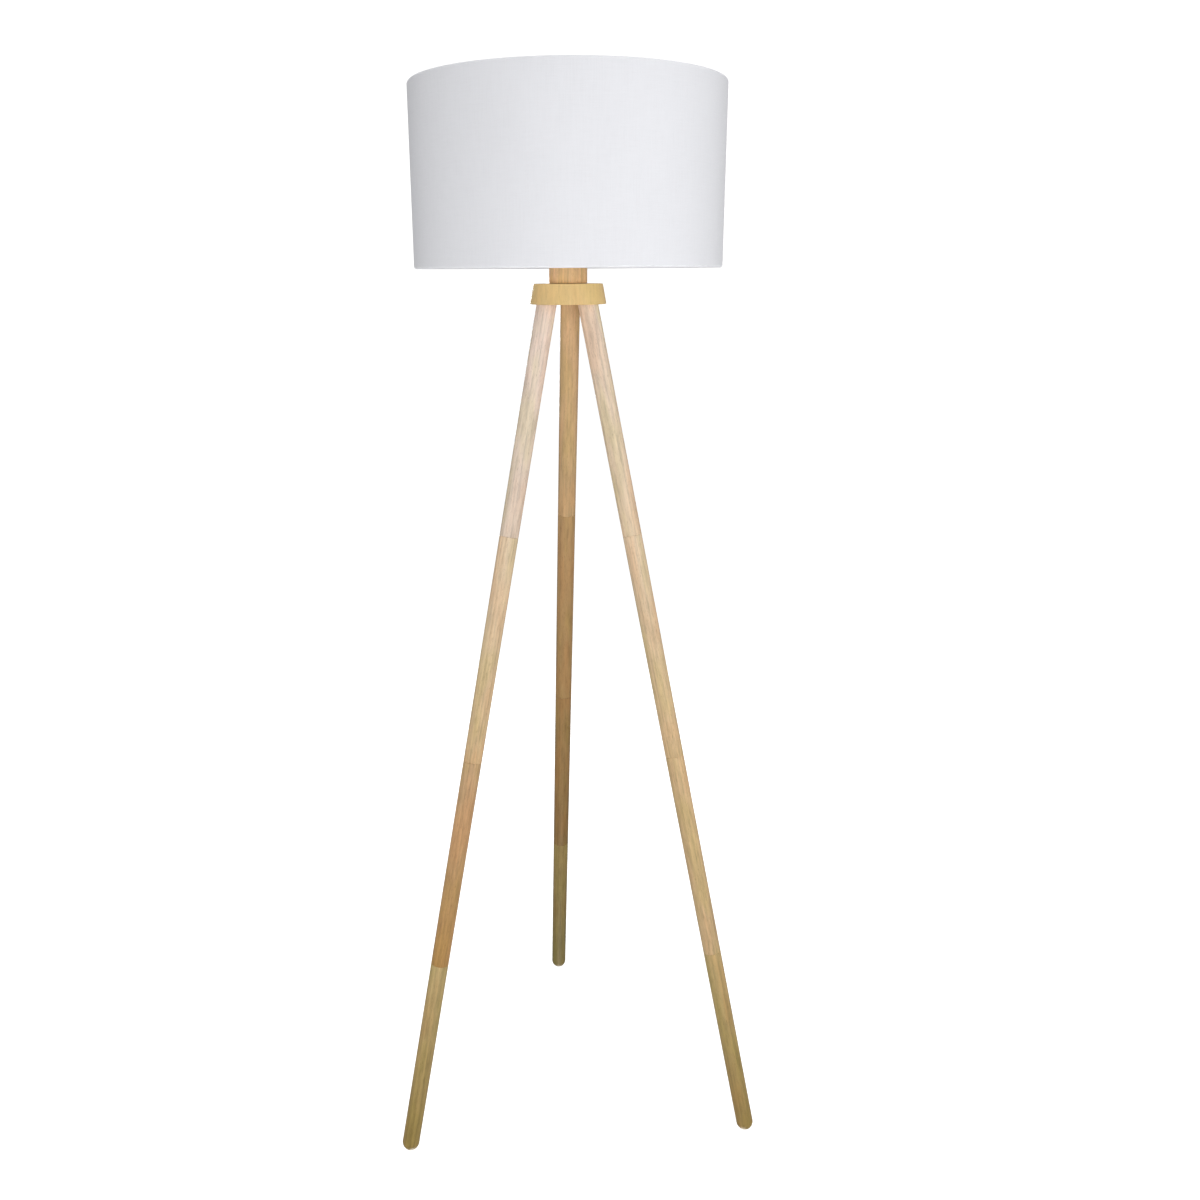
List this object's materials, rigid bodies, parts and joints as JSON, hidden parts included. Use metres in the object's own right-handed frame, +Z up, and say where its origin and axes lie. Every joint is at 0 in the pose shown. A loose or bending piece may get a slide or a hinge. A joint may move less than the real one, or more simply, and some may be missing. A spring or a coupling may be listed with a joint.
{
  "type": "tripod floor lamp",
  "caption": "Floor lamp with splayed turned wooden legs screwed into a wooden hub, a short neck, a screw-base lampholder with bulb and a white fabric drum shade.",
  "frame": {"origin": "on the floor, under the centre of the whole lamp's bounding box; the lamp's own axis stands at x 0, y -0.051", "axes": "+Z up, -Y to the lamp's front, so that one leg points back along +Y and the other two point forward to each side; +X to the right seen from the front"},
  "size_m": [0.5262, 0.5019, 1.472],
  "materials": {
    "leg_wood": "pale hardwood with fine straight grain under a thin satin lacquer; each turned section differs a little in tone",
    "hub_wood": "pale hardwood, flat grain across the disc, thin satin lacquer",
    "neck_wood": "pale hardwood, warmer in tone than the disc, upright grain, thin satin lacquer",
    "shade_fabric": "fine plain-weave white cloth laminated to a stiff white sheet, matt",
    "white_wire": "white powder-coated steel wire",
    "steel": "zinc-plated steel, satin",
    "bulb_cap_metal": "bright nickel-plated screw cap",
    "brass": "plain brass, lightly tarnished",
    "holder_plastic": "black moulded thermoplastic, fine satin texture",
    "bulb_insulation": "black glassy insulation between the bulb's tip and its cap",
    "ceramic": "glazed off-white ceramic",
    "bulb_plastic": "white moulded plastic, satin",
    "bulb_diffuser": "milky diffuser, satin"
  },
  "bodies": {
    "stand": {"hub_disc": "hub_wood", "neck": "neck_wood", "lamp_tube": "steel", "tube_washer": "steel", "tube_nut": "steel", "cord_bush": "holder_plastic", "leg_back_hub_insert": "steel", "leg_left_hub_insert": "steel", "leg_right_hub_insert": "steel", "holder_cup": "holder_plastic", "holder_shell": "holder_plastic", "holder_core": "ceramic", "screw_contact": "brass", "centre_contact": "brass", "terminal_screw_right": "brass", "terminal_screw_left": "brass"},
    "leg_back": {"leg_back_foot_section": "leg_wood", "leg_back_lower_section": "leg_wood", "leg_back_lower_insert": "steel", "leg_back_lower_stud": "steel", "leg_back_upper_section": "leg_wood", "leg_back_upper_insert": "steel", "leg_back_upper_stud": "steel", "leg_back_top_section": "leg_wood", "leg_back_top_insert": "steel", "leg_back_top_stud": "steel", "leg_back_hub_stud": "steel"},
    "leg_left": {"leg_left_foot_section": "leg_wood", "leg_left_lower_section": "leg_wood", "leg_left_lower_insert": "steel", "leg_left_lower_stud": "steel", "leg_left_upper_section": "leg_wood", "leg_left_upper_insert": "steel", "leg_left_upper_stud": "steel", "leg_left_top_section": "leg_wood", "leg_left_top_insert": "steel", "leg_left_top_stud": "steel", "leg_left_hub_stud": "steel"},
    "leg_right": {"leg_right_foot_section": "leg_wood", "leg_right_lower_section": "leg_wood", "leg_right_lower_insert": "steel", "leg_right_lower_stud": "steel", "leg_right_upper_section": "leg_wood", "leg_right_upper_insert": "steel", "leg_right_upper_stud": "steel", "leg_right_top_section": "leg_wood", "leg_right_top_insert": "steel", "leg_right_top_stud": "steel", "leg_right_hub_stud": "steel"},
    "switch": {"switch_knob": "holder_plastic", "switch_spindle": "brass"},
    "shade": {"shade_skin": "shade_fabric", "shade_top_ring": "white_wire", "shade_carrier": "white_wire"},
    "shade_collar": {"shade_collar": "holder_plastic"},
    "bulb_tip": {"bulb_contact": "brass"},
    "bulb": {"bulb_insulator": "bulb_insulation", "bulb_cap": "bulb_cap_metal", "bulb_housing": "bulb_plastic", "bulb_globe": "bulb_diffuser"}
  },
  "joints": [
    {"name": "leg_back_turn", "type": "hinge", "parent": "stand", "child": "leg_back", "pos_m": [0, 0.2386, 0.0115], "axis": [0.0042, -0.2116, 0.9773], "continuous": true},
    {"name": "leg_left_turn", "type": "hinge", "parent": "stand", "child": "leg_left", "pos_m": [-0.2508, -0.1958, 0.0115], "axis": [0.1811, 0.1095, 0.9773], "continuous": true},
    {"name": "leg_right_turn", "type": "hinge", "parent": "stand", "child": "leg_right", "pos_m": [0.2508, -0.1958, 0.0115], "axis": [-0.1854, 0.1021, 0.9773], "continuous": true},
    {"name": "switch_turn", "type": "hinge", "parent": "stand", "child": "switch", "pos_m": [0.03, -0.051, 1.284], "axis": [1, 0, 0], "continuous": true},
    {"name": "shade_turn", "type": "hinge", "parent": "stand", "child": "shade", "pos_m": [0, -0.051, 1.3], "axis": [0, 0, 1], "continuous": true},
    {"name": "collar_turn", "type": "hinge", "parent": "stand", "child": "shade_collar", "pos_m": [0, -0.051, 1.305], "axis": [0, 0, 1], "range_deg": [0, 1080]},
    {"name": "bulb_rise", "type": "slide", "parent": "stand", "child": "bulb_tip", "axis": [0, 0, 1], "range_m": [0, 0.01089]},
    {"name": "bulb_turn", "type": "hinge", "parent": "bulb_tip", "child": "bulb", "pos_m": [0, -0.051, 1.32], "axis": [0, 0, 1], "range_deg": [0, 1080]}
  ],
  "couplings": [
    {"joint": "bulb_rise", "follows": "bulb_turn", "m_per_rad": 0.00057757}
  ]
}
